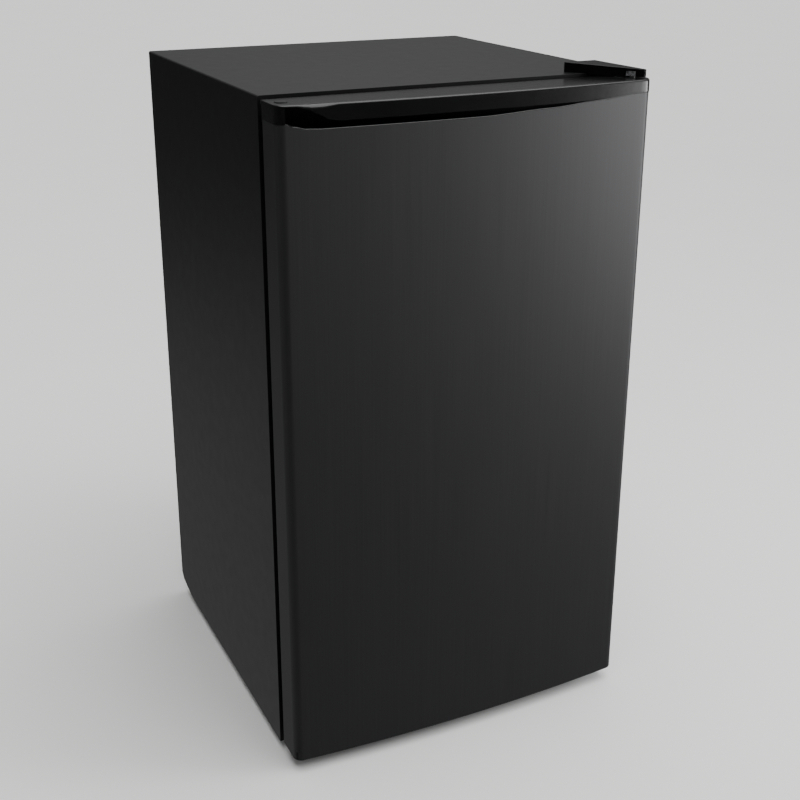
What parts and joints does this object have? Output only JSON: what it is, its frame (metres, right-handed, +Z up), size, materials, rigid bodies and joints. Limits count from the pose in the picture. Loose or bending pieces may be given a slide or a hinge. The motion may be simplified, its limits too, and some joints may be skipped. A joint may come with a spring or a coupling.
{
  "type": "mini fridge",
  "caption": "Compact free-standing refrigerator with a hinged bowed door, recessed top handle, freezer box with drop-down flap, sliding glass shelves and a rear compressor bay.",
  "frame": {"origin": "on the floor, under the middle of the appliance's outline", "axes": "+X to the right of a person facing the door, +Y from the door to the back, +Z up"},
  "size_m": [0.472, 0.498, 0.844],
  "materials": {
    "casing_black": "black pre-painted steel sheet, satin",
    "door_black": "black coated steel sheet, fine vertical grain, semi-gloss",
    "trim_black": "black ABS, satin",
    "galvanised": "galvanised steel sheet",
    "plated_steel": "zinc-plated steel",
    "liner_white": "white HIPS, vacuum-formed, gloss",
    "clear_plastic": "translucent SAN",
    "shelf_glass": "clear tempered glass",
    "shelf_trim": "white moulded edge",
    "foam": "rigid polyurethane foam",
    "aluminium": "roll-bonded aluminium",
    "compressor_black": "black enamel",
    "rubber_black": "black rubber or soft PVC",
    "plastic_dark": "black nylon or polypropylene",
    "drain_plastic": "grey polypropylene",
    "copper": "copper tube",
    "steel_tube": "copper-coated steel tube"
  },
  "bodies": {
    "cabinet": {"bottom_hinge_bracket": "plated_steel", "bottom_hinge_screws": "plated_steel", "bottom_panel": "galvanised", "capillary_tube": "copper", "compressor": "compressor_black", "compressor_base_plate": "galvanised", "compressor_bay_panel": "galvanised", "compressor_bolts": "plated_steel", "compressor_grommets": "rubber_black", "condenser_coil_left": "steel_tube", "condenser_coil_right": "steel_tube", "cord_gland": "plastic_dark", "discharge_pipe": "copper", "drain_pan": "plastic_dark", "drain_tube": "drain_plastic", "drip_tray_rails": "liner_white", "evaporator_box": "aluminium", "evaporator_spacers": "liner_white", "filter_drier": "copper", "foam_insulation": "foam", "foot_nuts": "plated_steel", "freezer_frame": "liner_white", "front_crossmember": "galvanised", "hinge_cover": "trim_black", "inner_liner": "liner_white", "outer_wrap": "casing_black", "rear_feet": "plastic_dark", "rear_panel": "galvanised", "rear_panel_screws": "plated_steel", "sensing_tube": "copper", "shelf_ledges": "liner_white", "start_relay_cover": "plastic_dark", "suction_pipe": "copper", "thermostat_housing": "liner_white", "thermostat_switch": "plastic_dark", "top_hinge_bracket": "plated_steel", "top_hinge_screws": "plated_steel"},
    "door": {"door_skin": "door_black", "door_foam": "foam", "door_liner": "liner_white", "door_top_trim": "trim_black", "door_bottom_trim": "trim_black", "door_gasket": "rubber_black", "door_rack_upper": "clear_plastic", "door_rack_middle": "clear_plastic", "bottle_rack": "clear_plastic", "hinge_bush_top": "plastic_dark", "hinge_bush_bottom": "plastic_dark", "hinge_hole_plug": "trim_black"},
    "freezer_flap": {"freezer_door": "liner_white"},
    "drip_tray": {"drip_tray": "liner_white"},
    "thermostat_knob": {"thermostat_knob": "liner_white"},
    "upper_shelf": {"shelf_glass_upper": "shelf_glass", "shelf_trim_upper": "shelf_trim"},
    "lower_shelf": {"shelf_glass_lower": "shelf_glass", "shelf_trim_lower": "shelf_trim"},
    "left_foot": {"levelling_foot_left": "plastic_dark"},
    "right_foot": {"levelling_foot_right": "plastic_dark"}
  },
  "joints": [
    {"name": "door_hinge", "type": "hinge", "parent": "cabinet", "child": "door", "pos_m": [0.222, -0.217, 0.42], "axis": [0, 0, 1], "range_deg": [0, 130]},
    {"name": "freezer_flap_hinge", "type": "hinge", "parent": "cabinet", "child": "freezer_flap", "pos_m": [0, -0.077, 0.7], "axis": [1, 0, 0], "range_deg": [0, 90]},
    {"name": "drip_tray_slide", "type": "slide", "parent": "cabinet", "child": "drip_tray", "axis": [0, -1, 0], "range_m": [0, 0.08]},
    {"name": "thermostat_turn", "type": "hinge", "parent": "cabinet", "child": "thermostat_knob", "pos_m": [0.16, -0.034, 0.622], "axis": [-1, 0, 0], "range_deg": [0, 270]},
    {"name": "upper_shelf_slide", "type": "slide", "parent": "cabinet", "child": "upper_shelf", "axis": [0, -1, 0], "range_m": [0, 0.06]},
    {"name": "lower_shelf_slide", "type": "slide", "parent": "cabinet", "child": "lower_shelf", "axis": [0, -1, 0], "range_m": [0, 0.06]},
    {"name": "left_foot_screw", "type": "slide", "parent": "cabinet", "child": "left_foot", "axis": [0, 0, -1], "range_m": [0, 0.012]},
    {"name": "right_foot_screw", "type": "slide", "parent": "cabinet", "child": "right_foot", "axis": [0, 0, -1], "range_m": [0, 0.012]}
  ]
}
